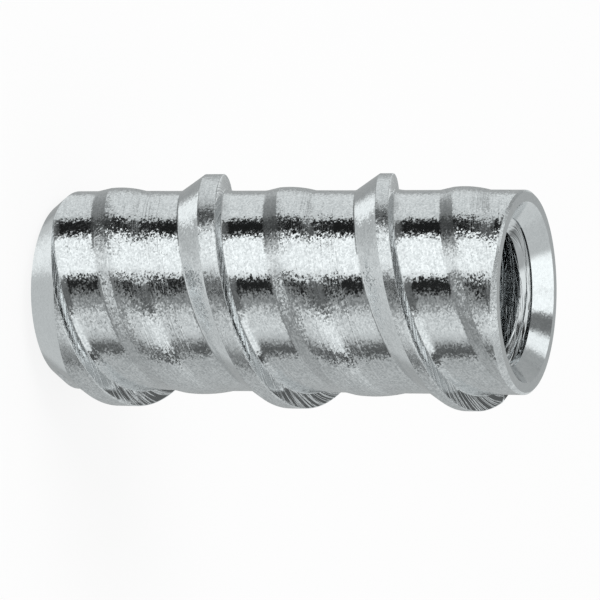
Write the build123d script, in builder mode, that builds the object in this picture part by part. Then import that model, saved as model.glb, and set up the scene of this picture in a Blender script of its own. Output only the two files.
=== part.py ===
"""Self-tapping threaded insert: a one-piece steel anchor that cuts its way into a drilled hole.

The axis is Z. The closed leading end stands on Z = 0 and the tapped hole opens upwards.
"""
import os
from math import radians, tan

from build123d import *

# Body: a plain round blank with a chamfered leading end and a lightly broken mouth edge
overall_length = 31.75
body_diameter = 13.0
lead_chamfer_length = 1.0
lead_chamfer_depth = 0.76
rim_edge_break = 0.15

# Tapped hole, left at its tap drill size. The countersink inside the mouth's flat rim ends at the thread's
# outside diameter, in a short step and a flatter cone that leads in to the thread
mouth_rim_width = 0.6
countersink_angle = 82.0
thread_diameter = 9.52
thread_step_depth = 0.12
thread_lead_angle = 120.0
tap_drill_diameter = 7.94
tap_drill_depth = 21.5
drill_point_angle = 118.0

# Cutting ridge: a coarse right-hand screw thread with a sloped front and a steep back. Its crest has this
# width where it first passes the X axis, and narrows by the same amount at each turn
ridge_pitch = 11.82
ridge_height = 1.08
ridge_crest_width = 1.45
ridge_narrowing = 0.36
ridge_front_run = 1.66
ridge_back_run = 0.12
ridge_crest_at_x_axis = 4.62
ridge_end_setback = 1.4
ridge_end_angle = 45.0

# Low ridge: a shallow swelling midway between the turns, with a sloped front and a crowned top
low_ridge_width = 3.6
low_ridge_shoulder_height = 0.2
low_ridge_front_run = 0.9
low_ridge_crown = 0.13
low_ridge_tail_sink = 0.05
low_ridge_lag = 5.38

# How deep both ridges root in the body, and how far cuts run past what they trim
ridge_root = 0.4
overrun = 2.0

full_turn = 360.0
body_radius = body_diameter / 2
crest_radius = body_radius + ridge_height
root_radius = body_radius - ridge_root
lead_face_radius = body_radius - lead_chamfer_depth
countersink_radius = body_radius - rim_edge_break - mouth_rim_width
thread_radius = thread_diameter / 2
bore_radius = tap_drill_diameter / 2
outer_reach = crest_radius + overrun
far_below = -overall_length
far_above = 2 * overall_length


def start_angle(start, at_x_axis, pitch):
    """Turn about Z that takes a screw from the height start to the height at_x_axis at the X axis."""
    return full_turn * (start - at_x_axis) / pitch


# Cutting ridge, swept with its steep back from below the leading end, sloped off in front by a screw of
# longer pitch, and faded out by a cone short of the mouth
root_share = 1 + ridge_root / ridge_height
front_root_run = ridge_front_run * root_share
back_root_run = ridge_back_run * root_share
half_crest = ridge_crest_width / 2
back_pitch = ridge_pitch - ridge_narrowing / 2
front_pitch = ridge_pitch + ridge_narrowing / 2
ridge_reach = ridge_crest_width + ridge_narrowing + front_root_run
back_start = -back_root_run
back_end = overall_length + ridge_reach
front_start = -overrun - ridge_reach
front_end = overall_length + ridge_reach + overrun
front_slope = ridge_front_run / ridge_height
ridge_end_height = overall_length - ridge_end_setback
end_cone_slope = tan(radians(ridge_end_angle))
inner_reach = root_radius - ridge_root

with BuildPart() as ridge_blank:
    with BuildLine(Plane.XY.offset(back_start)) as blank_path:
        Helix(back_pitch, back_end - back_start, body_radius)
    with BuildSketch(Plane.XZ) as blank_section:
        with BuildLine():
            Polyline(
                (root_radius, back_start - ridge_reach),
                (crest_radius, back_start - ridge_reach),
                (crest_radius, back_start),
                (root_radius, back_start + back_root_run),
                close=True,
            )
        make_face()
    sweep(path=blank_path.line, is_frenet=True)

with BuildPart() as ridge_clearance:
    with BuildLine(Plane.XY.offset(front_start)) as front_path:
        Helix(front_pitch, front_end - front_start, body_radius)
    with BuildSketch(Plane.XZ) as front_section:
        with BuildLine():
            Polyline(
                (inner_reach, front_start - (crest_radius - inner_reach) * front_slope),
                (outer_reach, front_start + (outer_reach - crest_radius) * front_slope),
                (outer_reach, front_start - ridge_reach - overrun),
                (inner_reach, front_start - ridge_reach - overrun),
                close=True,
            )
        make_face()
    sweep(path=front_path.line, is_frenet=True)

with BuildPart() as cutting_ridge:
    back_at_x_axis = ridge_crest_at_x_axis + half_crest
    front_at_x_axis = ridge_crest_at_x_axis - half_crest
    add(ridge_blank.part, rotation=(0, 0, start_angle(back_start, back_at_x_axis, back_pitch)))
    add(
        ridge_clearance.part,
        rotation=(0, 0, start_angle(front_start, front_at_x_axis, front_pitch)),
        mode=Mode.SUBTRACT,
    )
    with BuildSketch(Plane.XZ) as end_fade:
        with BuildLine():
            Polyline(
                (0, ridge_end_height + body_radius / end_cone_slope),
                (outer_reach, ridge_end_height - (outer_reach - body_radius) / end_cone_slope),
                (outer_reach, far_above),
                (0, far_above),
                close=True,
            )
        make_face()
    revolve(axis=Axis.Z, mode=Mode.SUBTRACT)

# Low ridge, swept past both ends of the body, its crown dipping just under the body's surface
low_half_width = low_ridge_width / 2
low_front_root_run = low_ridge_front_run * ridge_root / low_ridge_shoulder_height
low_start = -low_half_width
low_end = overall_length + low_half_width + low_front_root_run
low_foot = low_start - low_half_width
low_tail = low_start + low_half_width

with BuildPart() as low_ridge:
    with BuildLine(Plane.XY.offset(low_start)) as low_path:
        Helix(ridge_pitch, low_end - low_start, body_radius)
    with BuildSketch(Plane.XZ) as low_section:
        with BuildLine():
            front = Line(
                (root_radius, low_foot - low_front_root_run),
                (body_radius + low_ridge_shoulder_height, low_foot + low_ridge_front_run),
            )
            crown = SagittaArc(front @ 1, (body_radius - low_ridge_tail_sink, low_tail), -low_ridge_crown)
            back = Line(crown @ 1, (root_radius, low_tail))
            Line(back @ 1, front @ 0)
        make_face()
    sweep(path=low_path.line, is_frenet=True)

# Insert: the blank with both ridges, its ends turned to shape and its hole drilled
lead_slope = lead_chamfer_length / lead_chamfer_depth
countersink_end = overall_length - (countersink_radius - thread_radius) / tan(radians(countersink_angle / 2))
lead_in_start = countersink_end - thread_step_depth
lead_in_end = lead_in_start - (thread_radius - bore_radius) / tan(radians(thread_lead_angle / 2))
drill_point_depth = bore_radius / tan(radians(drill_point_angle / 2))
bore_floor = overall_length - tap_drill_depth

with BuildPart() as threaded_insert:
    with BuildSketch(Plane.XY.offset(-overrun)):
        Circle(body_radius)
    extrude(amount=overall_length + 2 * overrun)
    add(cutting_ridge.part)
    low_at_x_axis = ridge_crest_at_x_axis + low_ridge_lag
    add(low_ridge.part, rotation=(0, 0, start_angle(low_start, low_at_x_axis, ridge_pitch)))

    with BuildSketch(Plane.XZ) as lead_cut:
        with BuildLine():
            Polyline(
                (0, 0),
                (lead_face_radius, 0),
                (outer_reach, (outer_reach - lead_face_radius) * lead_slope),
                (outer_reach, far_below),
                (0, far_below),
                close=True,
            )
        make_face()
    revolve(axis=Axis.Z, mode=Mode.SUBTRACT)

    with BuildSketch(Plane.XZ) as mouth_cut:
        with BuildLine():
            Polyline(
                (0, overall_length),
                (body_radius - rim_edge_break, overall_length),
                (outer_reach, overall_length - rim_edge_break - (outer_reach - body_radius)),
                (outer_reach, far_above),
                (0, far_above),
                close=True,
            )
        make_face()
    revolve(axis=Axis.Z, mode=Mode.SUBTRACT)

    with BuildSketch(Plane.XZ) as hole_section:
        with BuildLine():
            Polyline(
                (0, bore_floor - drill_point_depth),
                (bore_radius, bore_floor),
                (bore_radius, lead_in_end),
                (thread_radius, lead_in_start),
                (thread_radius, countersink_end),
                (countersink_radius, overall_length),
                (countersink_radius, overall_length + overrun),
                (0, overall_length + overrun),
                close=True,
            )
        make_face()
    revolve(axis=Axis.Z, mode=Mode.SUBTRACT)

threaded_insert.part.label = "threaded_insert"

os.makedirs("parts", exist_ok=True)
export_step(threaded_insert.part, "parts/threaded_insert.step")
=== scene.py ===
"""The threaded insert as it looks: bright zinc plate on rolled steel, on a pale floor in soft light."""
from math import asin, ceil, cos, hypot, inf, isfinite, pi, radians, sin, tan

import bpy
from mathutils import Matrix, Vector


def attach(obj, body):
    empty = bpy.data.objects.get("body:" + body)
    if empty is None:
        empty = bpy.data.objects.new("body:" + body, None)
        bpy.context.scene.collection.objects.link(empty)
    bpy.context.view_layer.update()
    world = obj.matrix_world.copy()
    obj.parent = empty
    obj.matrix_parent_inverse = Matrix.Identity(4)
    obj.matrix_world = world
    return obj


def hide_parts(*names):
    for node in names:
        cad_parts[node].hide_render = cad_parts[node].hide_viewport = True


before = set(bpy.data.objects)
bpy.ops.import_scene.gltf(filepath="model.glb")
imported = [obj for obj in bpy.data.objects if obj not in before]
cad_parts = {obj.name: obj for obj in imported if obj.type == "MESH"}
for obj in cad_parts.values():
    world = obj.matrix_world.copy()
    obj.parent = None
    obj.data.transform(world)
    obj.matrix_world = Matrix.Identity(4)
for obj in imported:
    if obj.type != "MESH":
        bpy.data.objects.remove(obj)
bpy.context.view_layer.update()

MM = 0.001
MICROMETRE = 1e-6
INCH_IN_MM = 25.4
FULL_CIRCLE = 360

# The insert's sizes in millimetres, as in the part's source
LENGTH = 31.75
BODY_RADIUS = 6.5
LEAD_CHAMFER_LENGTH = 1.0
LEAD_CHAMFER_DEPTH = 0.76
RIM_EDGE_BREAK = 0.15
RIM_WIDTH = 0.6
COUNTERSINK_ANGLE = radians(82.0)
BORE_RADIUS = 3.97
BORE_DEPTH = 21.5
DRILL_POINT_ANGLE = radians(118.0)
PITCH = 11.82
RIDGE_HEIGHT = 1.08
CREST_WIDTH = 1.45
NARROWING = 0.36
FRONT_RUN = 1.66
BACK_RUN = 0.12
CREST_AT_X_AXIS = 4.62
RIDGE_END_SETBACK = 1.4
LOW_WIDTH = 3.6
LOW_SHOULDER = 0.2
LOW_FRONT_RUN = 0.9
LOW_CROWN = 0.13
LOW_TAIL_SINK = 0.05
LOW_LAG = 5.38

# Small radii left by the rolling dies, and a low ramp behind the steep back, which the source leaves out.
# CORNER_SHARE is the most that a radius takes of the stretch on each side of its corner
FRONT_FOOT_RADIUS = 0.3
CREST_EDGE_RADIUS = 0.09
BACK_FOOT_RADIUS = 0.08
BACK_RAMP_WIDTH = 0.5
BACK_RAMP_HEIGHT = 0.09
BACK_RAMP_RADIUS = 1.6
LOW_FOOT_RADIUS = 1.2
LOW_SHOULDER_RADIUS = 0.6
LOW_TAIL_RADIUS = 0.15
CORNER_SHARE = 0.45

# Inner thread, 3/8-16 UNC, with rounded crests and a fine seam near the mouth
THREAD_PITCH = INCH_IN_MM / 16
THREAD_ROOT_RADIUS = 4.76
THREAD_ROOT_FLAT = 0.2
THREAD_FLANK_ANGLE = radians(30.0)
THREAD_DEPTH = 19.0
THREAD_FADE = 2.5
THREAD_START = 0.04
THREAD_STEP_DEPTH = 0.12
THREAD_LEAD_ANGLE = radians(120.0)
THREAD_CREST_RADIUS = 0.18
THREAD_SEAM_SHARE = 0.6
THREAD_SEAM_LIP_RADIUS = 0.12
THREAD_SEAM_WIDTH = 0.12
THREAD_SEAM_DEPTH = 0.08

# Mesh: columns around the axis, the longest steps along the sections, and the steps in each arc and cone
COLUMNS = 300
SECTION_STEP = 0.42
DEEP_THREAD_STEP = 0.5
NEAR_THREAD_STEP = 0.12
NEAR_THREAD_DEPTH = 2.2
ARC_STEPS = 4
CROWN_STEPS = 12
CONE_ROWS = 5

# Turns of the outer screw that are searched for its ends, turns that a screw is swept past its ends, how
# far a row reaches for an edge as a share of a column's rise, and the least angle that shows as an edge
OUTER_TURNS = range(-3, 5)
SPARE_TURNS = 2
EDGE_REACH = 0.51
SHARP_ANGLE = radians(28.0)

# The rolled skin lies under its true radius, by a least depth and by waves that each have a number to the
# turn, radians to the millimetre of height, and a phase
SKIN_DEPTH = 0.002
WAVE_DEPTH = 0.007
WAVES = [(5, 0.9, 0.0), (9, -1.7, 1.0), (3, 2.9, 2.0)]

# Finish of each zone as (grain, streaks, dullness): the rolled skin's sparkle, drawn streaks, and haze
FINISH = {
    "body": (1.0, 0.0, 0.0),
    "front": (0.6, 0.0, 0.15),
    "crest": (1.3, 0.0, 1.4),
    "back": (0.3, 1.0, 0.05),
    "back_foot": (1.0, 0.0, 0.0),
    "low_front": (1.2, 0.0, 0.3),
    "crown": (1.5, 0.0, 0.5),
    "crown_tail": (1.7, 0.12, 0.2),
    "turned": (0.3, 0.0, 0.3),
    "broken_edge": (1.0, 0.0, 1.8),
    "thread": (0.1, 0.2, 0.0),
}
RIDGE_ZONES = ("front", "crest", "back", "back_foot")

GIRTH = 2 * pi * BODY_RADIUS
LEAD_FACE_RADIUS = BODY_RADIUS - LEAD_CHAMFER_DEPTH
RIM_RADIUS = BODY_RADIUS - RIM_EDGE_BREAK
MOUTH_RADIUS = RIM_RADIUS - RIM_WIDTH
RIDGE_END = LENGTH - RIDGE_END_SETBACK
BORE_FLOOR = LENGTH - BORE_DEPTH
THREAD_HEIGHT = THREAD_ROOT_RADIUS - BORE_RADIUS
COUNTERSINK_END = LENGTH - (MOUTH_RADIUS - THREAD_ROOT_RADIUS) / tan(COUNTERSINK_ANGLE / 2)
LEAD_IN_START = COUNTERSINK_END - THREAD_STEP_DEPTH


def column_angle(j):
    """Angle about the axis of a column of the mesh."""
    return 2 * pi * j / COLUMNS


def lead_limit(z):
    """Radius of the leading chamfer's cone."""
    return LEAD_FACE_RADIUS + z * LEAD_CHAMFER_DEPTH / LEAD_CHAMFER_LENGTH


def rim_limit(z):
    """Radius of the 45 degree cone of the broken edge at the mouth."""
    return RIM_RADIUS + LENGTH - z


def rounded_line(corners, step):
    """Points (t, height, finish) along a line of corners.

    Each corner is (t, height, radius, finish of the stretch after it).
    """
    points = [corners[0][:2] + corners[0][3:]]

    def straight_to(t, height):
        t0, h0, finish = points[-1]
        count = max(1, ceil(hypot(t - t0, height - h0) / step))
        for i in range(1, count):
            points.append((t0 + (t - t0) * i / count, h0 + (height - h0) * i / count, finish))

    for before, corner, after in zip(corners, corners[1:], corners[2:]):
        into = Vector((corner[0] - before[0], corner[1] - before[1]))
        out = Vector((after[0] - corner[0], after[1] - corner[1]))
        wanted = corner[2] * tan(into.angle(out) / 2)
        reach = min(wanted, into.length * CORNER_SHARE, out.length * CORNER_SHARE)
        middle = Vector(corner[:2])
        start = middle - into.normalized() * reach
        end = middle + out.normalized() * reach
        straight_to(*start)
        if reach == 0:
            points.append((middle.x, middle.y, corner[3]))
            continue
        for i in range(ARC_STEPS + 1):
            share = i / ARC_STEPS
            at = start * (1 - share) ** 2 + middle * 2 * share * (1 - share) + end * share**2
            points.append((at.x, at.y, corner[3] if i > ARC_STEPS / 2 else before[3]))
    straight_to(*corners[-1][:2])
    return points


def crown_arc(start, end, sagitta, count):
    """Points strictly between start and end on an arc that rises by sagitta over their chord."""
    chord = Vector(end) - Vector(start)
    normal = Vector((-chord.y, chord.x)).normalized()
    radius = (chord.length**2 / 4 + sagitta**2) / (2 * sagitta)
    half = asin(chord.length / 2 / radius)
    centre = (Vector(start) + Vector(end)) / 2 + normal * (sagitta - radius)
    for i in range(1, count):
        angle = half * (1 - 2 * i / count)
        yield centre + normal * radius * cos(angle) - chord.normalized() * radius * sin(angle)


def lean(t, knots):
    """How far a row at t moves up with each turn, between knots of (t, movement)."""
    for (t0, lean0), (t1, lean1) in zip(knots, knots[1:]):
        if t <= t1:
            return lean0 + (lean1 - lean0) * (t - t0) / (t1 - t0)
    return knots[-1][1]


def outer_section():
    """One pitch of the outer surface as (t, height, finish, lean), from before the cutting ridge on."""
    half = CREST_WIDTH / 2
    front_foot = -half - FRONT_RUN
    back_foot = half + BACK_RUN
    ramp_start = back_foot - BACK_RUN * BACK_RAMP_HEIGHT / RIDGE_HEIGHT
    low_foot = LOW_LAG - LOW_WIDTH / 2
    shoulder = (low_foot + LOW_FRONT_RUN, LOW_SHOULDER)
    tail = (LOW_LAG + LOW_WIDTH / 2, -LOW_TAIL_SINK)
    start = (front_foot + tail[0] - PITCH) / 2
    corners = [
        (start, 0.0, 0.0, "body"),
        (front_foot, 0.0, FRONT_FOOT_RADIUS, "front"),
        (-half, RIDGE_HEIGHT, CREST_EDGE_RADIUS, "crest"),
        (half, RIDGE_HEIGHT, CREST_EDGE_RADIUS, "back"),
        (ramp_start, BACK_RAMP_HEIGHT, BACK_FOOT_RADIUS, "back_foot"),
        (back_foot + BACK_RAMP_WIDTH, 0.0, BACK_RAMP_RADIUS, "body"),
        (low_foot, 0.0, LOW_FOOT_RADIUS, "low_front"),
        shoulder + (LOW_SHOULDER_RADIUS, "crown"),
    ]

    # The low ridge's crown, as far as the body's surface
    last = Vector(shoulder)
    for at in crown_arc(shoulder, tail, LOW_CROWN, CROWN_STEPS):
        if at.y <= 0:
            share = last.y / (last.y - at.y)
            corners.append((last.x + (at.x - last.x) * share, 0.0, LOW_TAIL_RADIUS, "body"))
            break
        corners.append((at.x, at.y, 0.0, "crown" if at.x < LOW_LAG else "crown_tail"))
        last = at
    corners.append((start + PITCH, 0.0, 0.0, "body"))

    side = NARROWING / 2
    knots = [
        (start, 0.0),
        (front_foot, side),
        (-half, side),
        (half, -side),
        (back_foot, -side),
        (low_foot, 0.0),
    ]
    return [point + (lean(point[0], knots),) for point in rounded_line(corners, SECTION_STEP)]


def thread_section(near_mouth):
    """One pitch of the inner thread, as heights above its crests' radius.

    Near the mouth its crests are rounded, and the flank that faces up has a fine seam.
    """
    flat = THREAD_ROOT_FLAT / 2
    run = THREAD_HEIGHT * tan(THREAD_FLANK_ANGLE)
    rounding = THREAD_CREST_RADIUS if near_mouth else 0.0
    crest_end = Vector((THREAD_PITCH - flat - run, 0.0))
    root_start = Vector((THREAD_PITCH - flat, THREAD_HEIGHT))
    corners = [
        (-flat, THREAD_HEIGHT, 0.0, "thread"),
        (flat, THREAD_HEIGHT, 0.0, "thread"),
        (flat + run, 0.0, rounding, "thread"),
        (*crest_end, rounding, "thread"),
    ]
    if near_mouth:
        flank = root_start - crest_end
        seam = crest_end + flank * THREAD_SEAM_SHARE
        aside = flank.normalized() * THREAD_SEAM_WIDTH / 2
        inside = Vector((-flank.y, flank.x)).normalized() * THREAD_SEAM_DEPTH
        corners.append((*(seam - aside), THREAD_SEAM_LIP_RADIUS, "thread"))
        corners += [(*at, 0.0, "thread") for at in (seam + inside, seam + aside)]
    corners.append((*root_start, 0.0, "thread"))
    points = rounded_line(corners, NEAR_THREAD_STEP if near_mouth else DEEP_THREAD_STEP)
    return [point + (0.0,) for point in points]


def thread_height(angle, z):
    """Height of the inner thread's section at a place, above its crests' radius."""
    t = (z - THREAD_START - THREAD_PITCH * angle / (2 * pi)) % THREAD_PITCH
    beside = min(t, THREAD_PITCH - t) - THREAD_ROOT_FLAT / 2
    return min(THREAD_HEIGHT, max(0.0, THREAD_HEIGHT - beside / tan(THREAD_FLANK_ANGLE)))


def waviness(angle, z):
    """How far the rolled skin lies below its true radius, in millimetres."""
    swell = 0.0
    for count, rise, phase in WAVES:
        swell += sin(count * angle + rise * z + phase)
    return SKIN_DEPTH + WAVE_DEPTH * (len(WAVES) + swell) / (2 * len(WAVES))


def crossing(column, limit, downwards):
    """Height at which a column of (z, radius) first crosses limit, followed downwards or else upwards."""
    pairs = list(zip(column, column[1:]))
    for (z0, r0), (z1, r1) in reversed(pairs) if downwards else pairs:
        over0 = r0 - limit(z0)
        over1 = r1 - limit(z1)
        if (over0 > 0) != (over1 > 0):
            return z0 + (z1 - z0) * over0 / (over0 - over1)
    raise ValueError("the section doesn't meet the cone")


def edge_between(z0, z1, over0, over1, bend):
    """Height between two rows where the surface meets its limit, or where the limit bends, or None.

    The rows are at z0 and z1, and over their limit by over0 and over1.
    """
    if not isfinite(over0 * over1):
        return None
    if over0 * over1 < 0:
        return z0 + (z1 - z0) * over0 / (over0 - over1)
    if over0 > 0 and z0 < bend < z1:
        return bend
    return None


class Skin:
    """Vertices and faces in millimetres.

    Each corner of a face has its place along and across the screw, and the face's finish.
    """

    def __init__(self):
        self.points, self.faces, self.lays, self.finishes = [], [], [], []

    def point(self, radius, angle, z):
        """A new vertex."""
        self.points.append((radius * cos(angle), radius * sin(angle), z))
        return len(self.points) - 1

    def ring(self, radius, z):
        """New vertices all round, one to a column."""
        return [self.point(radius, column_angle(j), z) for j in range(COLUMNS)]

    def face(self, corners, finish):
        """A face of (vertex, along, across) corners. Corners that fall together count once."""
        kept = [c for i, c in enumerate(corners) if c[0] != corners[i - 1][0]]
        if len(kept) > 2:
            self.faces.append([c[0] for c in kept])
            self.lays.extend(c[1:] for c in kept)
            self.finishes.extend([FINISH[finish]] * len(kept))

    def strip(self, below, above, finish):
        """Faces between two rings, seen from outside with below lower."""
        for j in range(COLUMNS):
            k = (j + 1) % COLUMNS
            along, after = (GIRTH * i / COLUMNS for i in (j, j + 1))
            round_face = ((below[j], along), (below[k], after), (above[k], after), (above[j], along))
            corners = []
            for vertex, place in round_face:
                x, y, z = self.points[vertex]
                corners.append((vertex, place, hypot(x, y) + z))
            self.face(corners, finish)

    def column(self, places, angle, low, high):
        """Vertices of a column of (z, radius) places, with low and high for those past them."""
        made = []
        for i, (z, radius) in enumerate(places):
            if i and places[i - 1] == (z, radius):
                made.append(made[-1])
            elif z <= self.points[low][2]:
                made.append(low)
            elif z >= self.points[high][2]:
                made.append(high)
            else:
                made.append(self.point(radius, angle, z))
        return made

    def screw(self, section, pitch, start, low, high, radius_at, limit_at, bend, inward=False):
        """A screw surface of one section, swept between the ring low and the ring high.

        The section's places are heights above start. Where the surface would pass limit_at, it follows
        that instead. The nearest row is moved on to the edge between the two, and another to the height
        bend, where the limit has a corner. Where the nearest row changes, both are moved.
        """
        rows_a_turn = len(section)
        bottom = min(self.points[i][2] for i in low)
        top = max(self.points[i][2] for i in high)
        first = int((bottom - start - section[0][0]) // pitch) - SPARE_TURNS
        last = int((top - start) // pitch) + SPARE_TURNS
        rows = [(turn, t, h, f, up) for turn in range(first, last + 1) for t, h, f, up in section]
        across = [0.0]
        for (t0, h0, _, _), (t1, h1, _, _) in zip(section, section[1:] + section[:1]):
            across.append(across[-1] + hypot((t1 - t0) % pitch, h1 - h0))

        ids = []
        for j in range(COLUMNS):
            angle = column_angle(j)
            places, overs = [], []
            for turn, t, h, f, up in rows:
                z = start + t + (pitch + up) * (turn + j / COLUMNS)
                radius = radius_at(angle, z, h)
                limit = limit_at(angle, z, f)
                places.append((z, max(radius, limit) if inward else min(radius, limit)))
                overs.append(radius - limit)
            for i, (over0, over1) in enumerate(zip(overs, overs[1:])):
                z0, z1 = places[i][0], places[i + 1][0]
                z = edge_between(z0, z1, over0, over1, bend)
                if z is None:
                    continue
                reach = (z1 - z0) / 2 + EDGE_REACH * pitch / COLUMNS
                for row, gap in ((i, z - z0), (i + 1, z1 - z)):
                    if gap < reach:
                        places[row] = (z, limit_at(angle, z, rows[row][3]))
            ids.append(self.column(places, angle, low[j], high[j]))

        # The column after the last is the first one again, a turn further on
        ids.append(ids[0][rows_a_turn:] + [high[0]] * rows_a_turn)
        for j in range(COLUMNS):
            for row in range(len(rows) - 1):
                along, after = (GIRTH * (rows[row][0] + i / COLUMNS) for i in (j, j + 1))
                lower, upper = across[row % rows_a_turn], across[row % rows_a_turn + 1]
                corners = [
                    (ids[j][row], along, lower),
                    (ids[j + 1][row], after, lower),
                    (ids[j + 1][row + 1], after, upper),
                    (ids[j][row + 1], along, upper),
                ]
                self.face(corners[::-1] if inward else corners, rows[row][3])

    def mesh(self, name):
        """The skin as a mesh in metres, smooth but for its edges."""
        made = bpy.data.meshes.new(name)
        made.from_pydata([(x * MM, y * MM, z * MM) for x, y, z in self.points], [], self.faces)
        lay = made.attributes.new("lay", "FLOAT_VECTOR", "CORNER")
        lay.data.foreach_set("vector", [v for along, across in self.lays for v in (along, across, 0.0)])
        finish = made.attributes.new("finish", "FLOAT_VECTOR", "CORNER")
        finish.data.foreach_set("vector", [v for values in self.finishes for v in values])
        made.shade_smooth()
        made.set_sharp_from_angle(angle=SHARP_ANGLE)
        return made


def outer_radius(angle, z, height):
    """Radius of the rolled surface."""
    return BODY_RADIUS + height - waviness(angle, z)


def ridge_limit(angle, z, finish):
    """Radius of the 45 degree cone that fades the cutting ridge out short of the mouth."""
    if finish not in RIDGE_ZONES:
        return inf
    return BODY_RADIUS + max(0.0, RIDGE_END - z) - waviness(angle, z)


def hole_radius(angle, z, height):
    """Radius of the thread, faded out at its depth."""
    fade = min(1.0, max(0.0, (z - LENGTH + THREAD_DEPTH) / THREAD_FADE))
    return BORE_RADIUS + height * fade


def hole_limit(angle, z, finish):
    """Radius that the hole has at least: that of the cone that leads in to the thread."""
    return THREAD_ROOT_RADIUS - (LEAD_IN_START - z) * tan(THREAD_LEAD_ANGLE / 2)


def end_edges(skin, section):
    """The curves where the rolled surface meets the chamfer and the rim's broken edge."""
    chamfer_edge, break_edge = [], []
    for j in range(COLUMNS):
        angle = column_angle(j)
        column = []
        for turn in OUTER_TURNS:
            for t, h, f, up in section:
                z = CREST_AT_X_AXIS + t + (PITCH + up) * (turn + j / COLUMNS)
                column.append((z, min(outer_radius(angle, z, h), ridge_limit(angle, z, f))))
        lower_half = [p for p in column if -PITCH < p[0] < LENGTH / 2]
        upper_half = [p for p in column if LENGTH / 2 < p[0] < LENGTH + PITCH]
        low = crossing(lower_half, lead_limit, downwards=True)
        high = crossing(upper_half, rim_limit, downwards=False)
        chamfer_edge.append(skin.point(lead_limit(low), angle, low))
        break_edge.append(skin.point(rim_limit(high), angle, high))
    return chamfer_edge, break_edge


def add_leading_end(skin, face_edge, chamfer_edge):
    """The leading face, from its centre out, and the chamfer."""
    centre = skin.point(0.0, 0.0, 0.0)
    inner_face = skin.ring(LEAD_FACE_RADIUS / 2, 0.0)
    skin.strip([centre] * COLUMNS, inner_face, "turned")
    skin.strip(inner_face, face_edge, "turned")
    below = face_edge
    for row in range(1, CONE_ROWS):
        above = []
        for j in range(COLUMNS):
            z = skin.points[chamfer_edge[j]][2] * row / CONE_ROWS
            above.append(skin.point(lead_limit(z), column_angle(j), z))
        skin.strip(below, above, "turned")
        below = above
    skin.strip(below, chamfer_edge, "turned")


def add_hole(skin, mouth_edge):
    """The countersink, its step, the thread with its lead-in, and the drill's point."""
    step_edge = skin.ring(THREAD_ROOT_RADIUS, COUNTERSINK_END)
    lead_edge = skin.ring(THREAD_ROOT_RADIUS, LEAD_IN_START)
    bore_edge = skin.ring(BORE_RADIUS, BORE_FLOOR)
    split = LENGTH - NEAR_THREAD_DEPTH - THREAD_PITCH
    near_edge = []
    for j in range(COLUMNS):
        angle = column_angle(j)
        near_edge.append(skin.point(hole_radius(angle, split, thread_height(angle, split)), angle, split))
    skin.strip(mouth_edge, step_edge, "turned")
    skin.strip(step_edge, lead_edge, "turned")

    # The thread is meshed finer where it shows
    for near_mouth, low, high in ((True, near_edge, lead_edge), (False, bore_edge, near_edge)):
        section = thread_section(near_mouth)
        skin.screw(
            section, THREAD_PITCH, THREAD_START, low, high, hole_radius, hole_limit, LENGTH, inward=True
        )
    point = skin.point(0.0, 0.0, BORE_FLOOR - BORE_RADIUS / tan(DRILL_POINT_ANGLE / 2))
    skin.strip(bore_edge, [point] * COLUMNS, "turned")


def insert_skin():
    """The whole insert as one closed skin."""
    skin = Skin()
    section = outer_section()
    face_edge = skin.ring(LEAD_FACE_RADIUS, 0.0)
    rim_edge = skin.ring(RIM_RADIUS, LENGTH)
    mouth_edge = skin.ring(MOUTH_RADIUS, LENGTH)
    chamfer_edge, break_edge = end_edges(skin, section)
    add_leading_end(skin, face_edge, chamfer_edge)
    skin.screw(
        section, PITCH, CREST_AT_X_AXIS, chamfer_edge, break_edge, outer_radius, ridge_limit, RIDGE_END
    )
    skin.strip(break_edge, rim_edge, "broken_edge")
    skin.strip(rim_edge, mouth_edge, "turned")
    add_hole(skin, mouth_edge)
    return skin


def add_node(tree, kind, inputs=None, **settings):
    """A node with its settings, its sockets given values or linked to other nodes' outputs."""
    made = tree.nodes.new(kind)
    for name, value in settings.items():
        setattr(made, name, value)
    for key, value in (inputs or {}).items():
        if isinstance(value, bpy.types.NodeSocket):
            tree.links.new(value, made.inputs[key])
        else:
            made.inputs[key].default_value = value
    return made


def calculate(tree, operation, *values):
    """The output of a Math node."""
    return add_node(tree, "ShaderNodeMath", dict(enumerate(values)), operation=operation).outputs[0]


def calculate_vector(tree, operation, inputs):
    """The output of a Vector Math node."""
    return add_node(tree, "ShaderNodeVectorMath", inputs, operation=operation).outputs[0]


def smooth_rise(tree, value, low, high):
    """The output of a Map Range node that goes smoothly from 0 at low to 1 at high."""
    inputs = {"Value": value, "From Min": low, "From Max": high}
    return add_node(tree, "ShaderNodeMapRange", inputs, interpolation_type="SMOOTHSTEP").outputs["Result"]


# Sockets of a Mix node that mixes colours
MIX_SHARE, MIX_FIRST, MIX_SECOND, MIX_RESULT = 0, 6, 7, 2


def mix_colours(tree, share, first, second):
    """The output of a colour Mix node."""
    inputs = {MIX_SHARE: share, MIX_FIRST: first, MIX_SECOND: second}
    return add_node(tree, "ShaderNodeMix", inputs, data_type="RGBA").outputs[MIX_RESULT]


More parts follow.
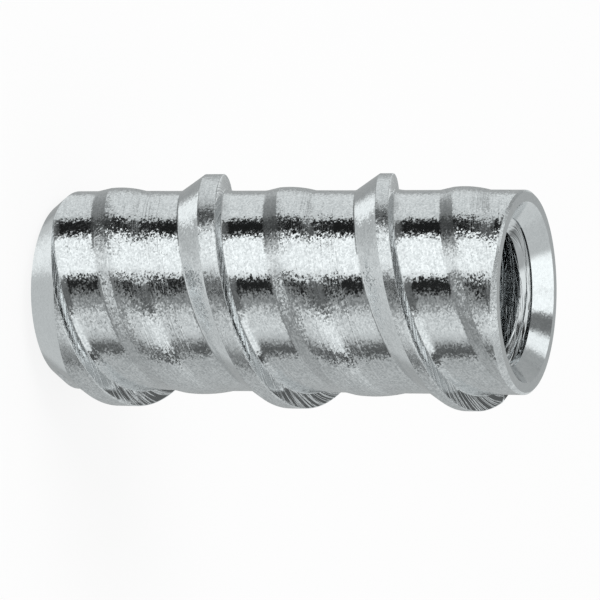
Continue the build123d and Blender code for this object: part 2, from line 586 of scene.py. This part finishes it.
# Zinc plate: colour about the record's, roughness, and bump. Heights are in micrometres, and sizes,
# lengths and widths in millimetres. Textures lie about MIDDLE, and are used between their low and high
MIDDLE = 0.5
ZINC_DARK = (0.56, 0.58, 0.59, 1.0)
ZINC_LIGHT = (0.90, 0.92, 0.93, 1.0)
ZINC_PLACES = (0.2, 0.8)
SMOOTH, ROUGH = 0.05, 0.10
DULLNESS = 0.12
FLAKE_SIZE = 0.1
FLAKE_TILT = 0.085
SWELL_SIZE = 0.4
SWELL_DETAIL = 1.0
SWELL_HEIGHT = 5.0
SWELL_LOW, SWELL_HIGH = 0.35, 0.65
DRAWN_DETAIL = 2.0
LAY_LENGTH, LAY_WIDTH = 1.2, 0.12
LAY_HEIGHT = 2.5
STREAK_LENGTH, STREAK_WIDTH = 9.0, 0.18
STREAK_SLANT = 0.55
STREAK_HEIGHT = 40.0
STREAK_LOW, STREAK_HIGH = 0.50, 0.62


def zinc_plated_steel():
    """Bright zinc over rolled steel: tilted flakes, faint lines along the screw, and drawn streaks."""
    material = bpy.data.materials.new("zinc_plated_steel")
    material.use_nodes = True
    tree = material.node_tree
    shader = tree.nodes["Principled BSDF"]
    lay = add_node(tree, "ShaderNodeAttribute", attribute_name="lay").outputs["Vector"]
    finish = add_node(tree, "ShaderNodeAttribute", attribute_name="finish").outputs["Vector"]
    grainy, streaky, dull = add_node(tree, "ShaderNodeSeparateXYZ", {0: finish}).outputs
    place = add_node(tree, "ShaderNodeTexCoord").outputs["Object"]
    along, across, _ = add_node(tree, "ShaderNodeSeparateXYZ", {0: lay}).outputs

    def product(first, *rest):
        for value in rest:
            first = calculate(tree, "MULTIPLY", first, value)
        return first

    def drawn_noise(length, width, slant):
        slid = calculate(tree, "ADD", across, product(along, streaky, slant))
        stretched = add_node(
            tree,
            "ShaderNodeCombineXYZ",
            {0: calculate(tree, "DIVIDE", along, length), 1: calculate(tree, "DIVIDE", slid, width)},
        )
        inputs = {"Vector": stretched.outputs[0], "Scale": 1.0, "Detail": DRAWN_DETAIL}
        return add_node(tree, "ShaderNodeTexNoise", inputs).outputs[0]

    # Flakes: each small cell of the plate is tilted its own way
    cells = {"Vector": place, "Scale": 1 / (FLAKE_SIZE * MM)}
    flakes = add_node(tree, "ShaderNodeTexVoronoi", cells).outputs["Color"]
    spin = calculate_vector(tree, "SUBTRACT", {0: flakes, 1: (MIDDLE,) * 3})
    tilt = calculate_vector(tree, "SCALE", {0: spin, "Scale": product(grainy, FLAKE_TILT)})
    surface = add_node(tree, "ShaderNodeNewGeometry").outputs["Normal"]
    facet = calculate_vector(tree, "NORMALIZE", {0: calculate_vector(tree, "ADD", {0: surface, 1: tilt})})

    # Bump: soft swells, fine lines along the screw, and the streaks
    swells = {"Vector": place, "Scale": 1 / (SWELL_SIZE * MM), "Detail": SWELL_DETAIL}
    swell = add_node(tree, "ShaderNodeTexNoise", swells).outputs[0]
    lines = drawn_noise(LAY_LENGTH, LAY_WIDTH, 0.0)
    drawn = drawn_noise(STREAK_LENGTH, STREAK_WIDTH, STREAK_SLANT)
    streaks = smooth_rise(tree, drawn, STREAK_LOW, STREAK_HIGH)
    swell_height = product(swell, grainy, SWELL_HEIGHT)
    height = calculate(tree, "ADD", swell_height, product(lines, grainy, LAY_HEIGHT))
    height = calculate(tree, "ADD", height, product(streaks, streaky, STREAK_HEIGHT))
    bump = add_node(tree, "ShaderNodeBump", {"Height": height, "Distance": MICROMETRE, "Normal": facet})

    # Colour: between the flakes' shade and the lines', with less contrast where there is little grain
    shade = add_node(tree, "ShaderNodeSeparateXYZ", {0: flakes}).outputs[0]
    mean = product(calculate(tree, "ADD", shade, lines), 0.5)
    contrast = calculate(tree, "MINIMUM", grainy, 1.0)
    fleck = product(calculate(tree, "SUBTRACT", mean, MIDDLE), contrast)
    colour = add_node(tree, "ShaderNodeValToRGB", {"Fac": calculate(tree, "ADD", fleck, MIDDLE)})
    for element, position, value in zip(colour.color_ramp.elements, ZINC_PLACES, (ZINC_DARK, ZINC_LIGHT)):
        element.position = position
        element.color = value

    spread = {
        "Value": swell,
        "From Min": SWELL_LOW,
        "From Max": SWELL_HIGH,
        "To Min": SMOOTH,
        "To Max": ROUGH,
    }
    rough = add_node(tree, "ShaderNodeMapRange", spread).outputs["Result"]
    rough = calculate(tree, "ADD", rough, product(dull, DULLNESS))
    tree.links.new(colour.outputs["Color"], shader.inputs["Base Color"])
    tree.links.new(rough, shader.inputs["Roughness"])
    tree.links.new(bump.outputs["Normal"], shader.inputs["Normal"])
    shader.inputs["Metallic"].default_value = 1.0
    return material


WHITE = (1.0, 1.0, 1.0, 1.0)
FLOOR_COLOUR = (0.92, 0.92, 0.92, 1.0)
FLOOR_GLOW = 0.85
FLOOR_SIZE = 4.0


def pale_floor():
    """Matt white, partly lit by itself to the camera, so that it is white and keeps a light shadow."""
    material = bpy.data.materials.new("pale_floor")
    material.use_nodes = True
    tree = material.node_tree
    tree.nodes.clear()
    sight = add_node(tree, "ShaderNodeLightPath").outputs["Is Camera Ray"]
    matt = add_node(tree, "ShaderNodeBsdfDiffuse", {"Color": FLOOR_COLOUR})
    glow = add_node(tree, "ShaderNodeEmission", {"Color": WHITE, "Strength": 1.0})
    share = calculate(tree, "MULTIPLY", sight, FLOOR_GLOW)
    mixed = add_node(tree, "ShaderNodeMixShader", {0: share, 1: matt.outputs[0], 2: glow.outputs[0]})
    add_node(tree, "ShaderNodeOutputMaterial", {"Surface": mixed.outputs[0]})
    return material


# What the metal mirrors: softboxes and the gaps between them, in rings from underfoot to overhead. Each
# ring is (azimuth, level) pairs, with the azimuth in degrees from +Y through -X
RINGS = [
    [
        (0, 0.62), (34, 0.62), (42, 1.1), (60, 1.1), (66, 0.5), (110, 0.72), (180, 0.80), (290, 0.64),
        (360, 0.62),
    ],
    [
        (0, 0.40), (40, 0.40), (50, 0.34), (84, 0.22), (90, 0.07), (110, 0.07), (128, 0.45), (142, 1.0),
        (160, 1.0), (168, 0.16), (186, 0.28), (240, 0.32), (262, 0.40), (300, 0.45), (360, 0.40),
    ],
    [
        (0, 0.42), (30, 0.42), (40, 0.80), (88, 0.80), (92, 0.015), (112, 0.015), (117, 1.15), (161, 1.15),
        (166, 0.02), (179, 0.02), (186, 0.28), (195, 0.36), (206, 0.74), (226, 0.80), (236, 0.62),
        (246, 0.13), (255, 0.13), (263, 0.50), (300, 0.53), (360, 0.42),
    ],
    [
        (0, 0.45), (4, 0.45), (8, 0.9), (17, 0.9), (22, 0.42), (70, 0.42), (80, 0.70), (88, 0.70),
        (94, 0.14), (112, 0.14), (118, 1.1), (156, 1.1), (164, 0.16), (194, 0.16), (204, 0.95), (230, 1.0),
        (243, 1.0), (248, 0.08), (256, 0.08), (262, 0.70), (338, 0.70), (343, 0.9), (352, 0.9),
        (356, 0.45), (360, 0.45),
    ],
    [
        (0, 0.10), (14, 0.10), (17, 0.8), (24, 0.8), (31, 0.04), (50, 0.04), (56, 0.42), (70, 0.42),
        (78, 1.15), (98, 1.15), (104, 0.2), (140, 0.2), (150, 0.06), (248, 0.06), (258, 0.62), (318, 0.62),
        (335, 0.14), (360, 0.10),
    ],
    [
        (0, 0.12), (12, 0.12), (17, 0.9), (26, 0.9), (31, 0.03), (56, 0.03), (62, 0.55), (70, 1.1),
        (95, 1.1), (105, 0.2), (132, 0.2), (142, 1.3), (248, 1.3), (262, 0.60), (310, 0.45), (324, 0.5),
        (330, 0.9), (343, 0.9), (349, 0.12), (360, 0.12),
    ],
    [(0, 1.0), (60, 1.0), (90, 0.3), (270, 0.3), (300, 1.0), (360, 1.0)],
]

# Elevations in degrees between which each ring gives way to the next
RING_LIMITS = [(-50, -42), (-30, -24.5), (-14, -2), (24, 32), (49, 54), (65, 71)]
PANEL_TINT = (0.965, 1.0, 1.0)
ROOM_COLOUR = (0.75, 0.75, 0.75, 1.0)


def panel_ring(tree, azimuth, panels):
    """Colour by azimuth from a list of (degrees, level)."""
    ramp = add_node(tree, "ShaderNodeValToRGB", {"Fac": azimuth})
    elements = ramp.color_ramp.elements
    while len(elements) < len(panels):
        elements.new(MIDDLE)
    for element, (degrees, _) in zip(elements, panels):
        element.position = degrees / FULL_CIRCLE
    for element, (_, level) in zip(elements, panels):
        element.color = tuple(level * c for c in PANEL_TINT) + (1.0,)
    return ramp.outputs["Color"]


def studio():
    """White to the camera, a plain level to matt surfaces, and softboxes with gaps to metal."""
    world = bpy.data.worlds.new("studio")
    bpy.context.scene.world = world
    world.use_nodes = True
    tree = world.node_tree
    background = tree.nodes["Background"]
    direction = add_node(tree, "ShaderNodeTexCoord").outputs["Generated"]
    x, y, z = add_node(tree, "ShaderNodeSeparateXYZ", {0: direction}).outputs
    west = calculate(tree, "MULTIPLY", x, -1.0)
    turn = calculate(tree, "DIVIDE", calculate(tree, "ARCTAN2", west, y), 2 * pi)
    azimuth = calculate(tree, "FRACT", turn)
    mirrored = panel_ring(tree, azimuth, RINGS[0])
    for (low, high), panels in zip(RING_LIMITS, RINGS[1:]):
        rise = smooth_rise(tree, z, sin(radians(low)), sin(radians(high)))
        mirrored = mix_colours(tree, rise, mirrored, panel_ring(tree, azimuth, panels))
    path = add_node(tree, "ShaderNodeLightPath")
    plain = mix_colours(tree, path.outputs["Is Glossy Ray"], ROOM_COLOUR, mirrored)
    seen = mix_colours(tree, path.outputs["Is Camera Ray"], plain, WHITE)
    tree.links.new(seen, background.inputs["Color"])
    background.inputs["Strength"].default_value = 1.0


LAMP_PLACE = Vector((-0.25, -0.15, 0.45))
LAMP_SIZE = 0.3
LAMP_POWER = 0.9


def soft_lamp():
    """One large soft lamp for the floor's shadow. The metal mirrors the studio's panels instead."""
    light = bpy.data.lights.new("soft_lamp", "AREA")
    light.shape = "DISK"
    light.size = LAMP_SIZE
    light.energy = LAMP_POWER
    lamp = bpy.data.objects.new("soft_lamp", light)
    aim = (-LAMP_PLACE).to_track_quat("-Z", "Y").to_matrix().to_4x4()
    lamp.matrix_world = Matrix.Translation(LAMP_PLACE) @ aim
    lamp.visible_glossy = False
    bpy.context.collection.objects.link(lamp)


def floor_plane():
    """The pale floor at Z = 0. The metal mirrors the studio's panels through it."""
    half = FLOOR_SIZE / 2
    corners = [(-half, -half, 0), (half, -half, 0), (half, half, 0), (-half, half, 0)]
    made = bpy.data.meshes.new("floor")
    made.from_pydata(corners, [], [(0, 1, 2, 3)])
    made.materials.append(pale_floor())
    floor = bpy.data.objects.new("floor", made)
    floor.visible_glossy = False
    bpy.context.collection.objects.link(floor)


# Camera, fitted to the photograph's outline: the insert lies across the picture, its mouth to the right
VIEW_ELEVATION = radians(20.47)
VIEW_DISTANCE = 269.0
PIXELS_PER_MM = 15.49
CENTRE_PIXEL = (292.2, 291.1)
PICTURE = 600
SENSOR = 36.0
ROLL = radians(0.35)
CLIP_START, CLIP_END = 0.01, 10.0


def photo_camera():
    """The camera at the photograph's viewing angle, turned so that the insert lies across the picture."""
    forward = Vector((0, cos(VIEW_ELEVATION), -sin(VIEW_ELEVATION)))
    right = Vector((0, sin(VIEW_ELEVATION), cos(VIEW_ELEVATION)))
    up = Vector((-1, 0, 0))
    right, up = right * cos(ROLL) + up * sin(ROLL), up * cos(ROLL) - right * sin(ROLL)
    centre = Vector((0, 0, LENGTH / 2))
    place = centre - forward * VIEW_DISTANCE
    place += right * (PICTURE / 2 - CENTRE_PIXEL[0]) / PIXELS_PER_MM
    place += up * (CENTRE_PIXEL[1] - PICTURE / 2) / PIXELS_PER_MM
    lens = bpy.data.cameras.new("photo_camera")
    lens.sensor_width = SENSOR
    lens.lens = PIXELS_PER_MM * VIEW_DISTANCE * SENSOR / PICTURE
    lens.clip_start = CLIP_START
    lens.clip_end = CLIP_END
    camera = bpy.data.objects.new("photo_camera", lens)
    axes = Matrix((right, up, -forward)).transposed().to_4x4()
    camera.matrix_world = Matrix.Translation(place * MM) @ axes
    bpy.context.collection.objects.link(camera)
    bpy.context.scene.camera = camera


insert = bpy.data.objects.new("plated_insert", insert_skin().mesh("plated_insert"))
insert.data.materials.append(zinc_plated_steel())
bpy.context.collection.objects.link(insert)
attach(insert, "root")
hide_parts("threaded_insert")

studio()
soft_lamp()
floor_plane()
photo_camera()
bpy.context.scene.view_settings.view_transform = "Standard"

bpy.context.view_layer.update()
